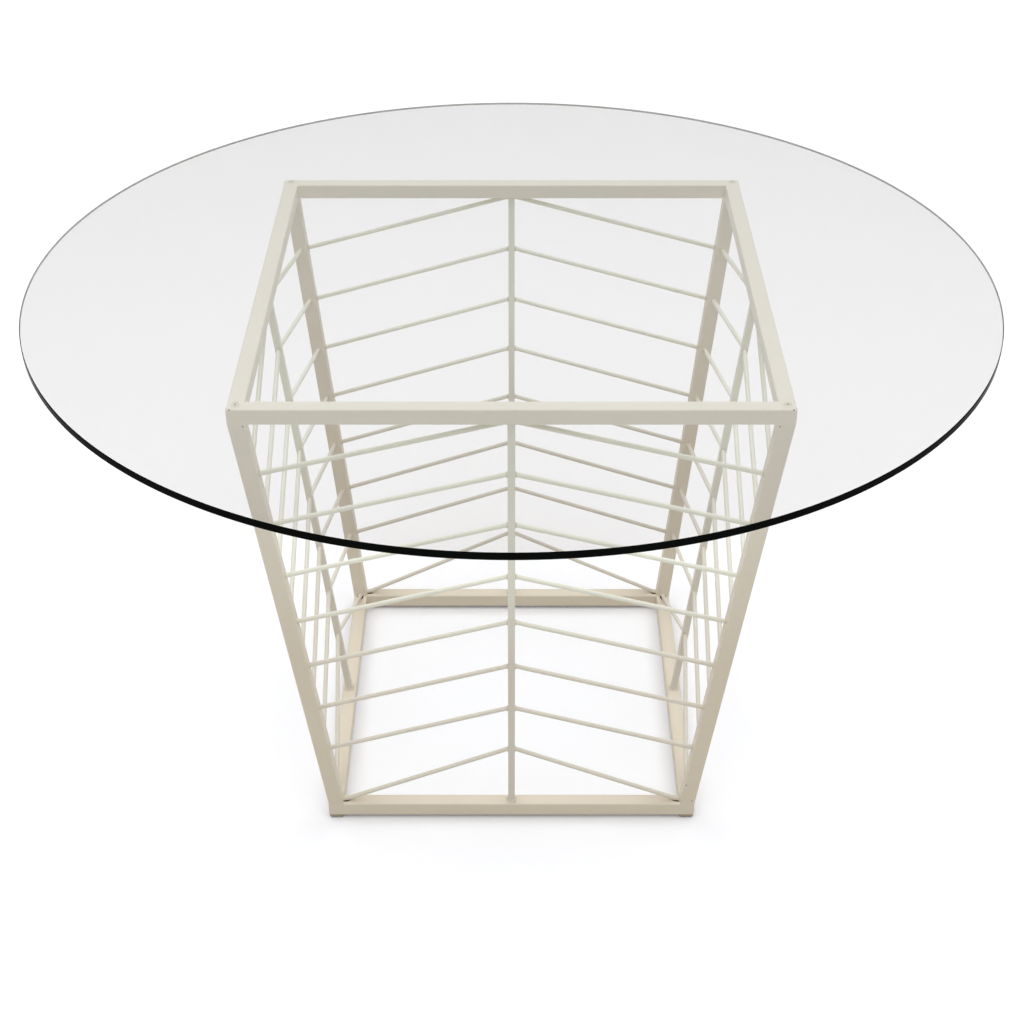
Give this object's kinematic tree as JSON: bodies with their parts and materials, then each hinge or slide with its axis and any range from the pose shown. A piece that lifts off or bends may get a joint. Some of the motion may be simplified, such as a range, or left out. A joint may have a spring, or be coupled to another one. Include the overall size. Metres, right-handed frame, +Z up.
{
  "type": "table",
  "caption": "Round clear glass top resting on a tapered square base of welded cream steel tube, its leaning side panels filled with thin rods in a chevron pattern.",
  "frame": {"origin": "on the floor, under the middle of the table", "axes": "+Z up, +X to the right and -Y to the front; the square base has its sides along X and Y"},
  "size_m": [1.2998, 1.3, 0.74],
  "materials": {
    "clear_glass": "clear float glass, flat polished edge",
    "painted_tube": "cream paint on steel tube, satin",
    "painted_rod": "cream paint on steel rod and bar, satin",
    "clear_bumper": "clear soft bumper, smooth",
    "foot_pad": "beige plastic, matt"
  },
  "bodies": {
    "base": {"base_rail_back": "painted_tube", "base_rail_front": "painted_tube", "base_rail_left": "painted_tube", "base_rail_right": "painted_tube", "bumper_back_left": "clear_bumper", "bumper_back_right": "clear_bumper", "bumper_front_left": "clear_bumper", "bumper_front_right": "clear_bumper", "centre_bar_back": "painted_rod", "centre_bar_front": "painted_rod", "centre_bar_left": "painted_rod", "centre_bar_right": "painted_rod", "chevron_back_1": "painted_rod", "chevron_back_2": "painted_rod", "chevron_back_3": "painted_rod", "chevron_back_4": "painted_rod", "chevron_back_5": "painted_rod", "chevron_back_6": "painted_rod", "chevron_back_7": "painted_rod", "chevron_back_8": "painted_rod", "chevron_front_1": "painted_rod", "chevron_front_2": "painted_rod", "chevron_front_3": "painted_rod", "chevron_front_4": "painted_rod", "chevron_front_5": "painted_rod", "chevron_front_6": "painted_rod", "chevron_front_7": "painted_rod", "chevron_front_8": "painted_rod", "chevron_left_1": "painted_rod", "chevron_left_2": "painted_rod", "chevron_left_3": "painted_rod", "chevron_left_4": "painted_rod", "chevron_left_5": "painted_rod", "chevron_left_6": "painted_rod", "chevron_left_7": "painted_rod", "chevron_left_8": "painted_rod", "chevron_right_1": "painted_rod", "chevron_right_2": "painted_rod", "chevron_right_3": "painted_rod", "chevron_right_4": "painted_rod", "chevron_right_5": "painted_rod", "chevron_right_6": "painted_rod", "chevron_right_7": "painted_rod", "chevron_right_8": "painted_rod", "foot_back_left": "foot_pad", "foot_back_right": "foot_pad", "foot_front_left": "foot_pad", "foot_front_right": "foot_pad", "leg_back_left": "painted_tube", "leg_back_right": "painted_tube", "leg_front_left": "painted_tube", "leg_front_right": "painted_tube", "top_rail_back": "painted_tube", "top_rail_front": "painted_tube", "top_rail_left": "painted_tube", "top_rail_right": "painted_tube"},
    "glass": {"glass_top": "clear_glass"}
  },
  "joints": [
    {"name": "glass_lift", "type": "slide", "parent": "base", "child": "glass", "axis": [0, 0, 1], "range_m": [0, 0.3]}
  ]
}
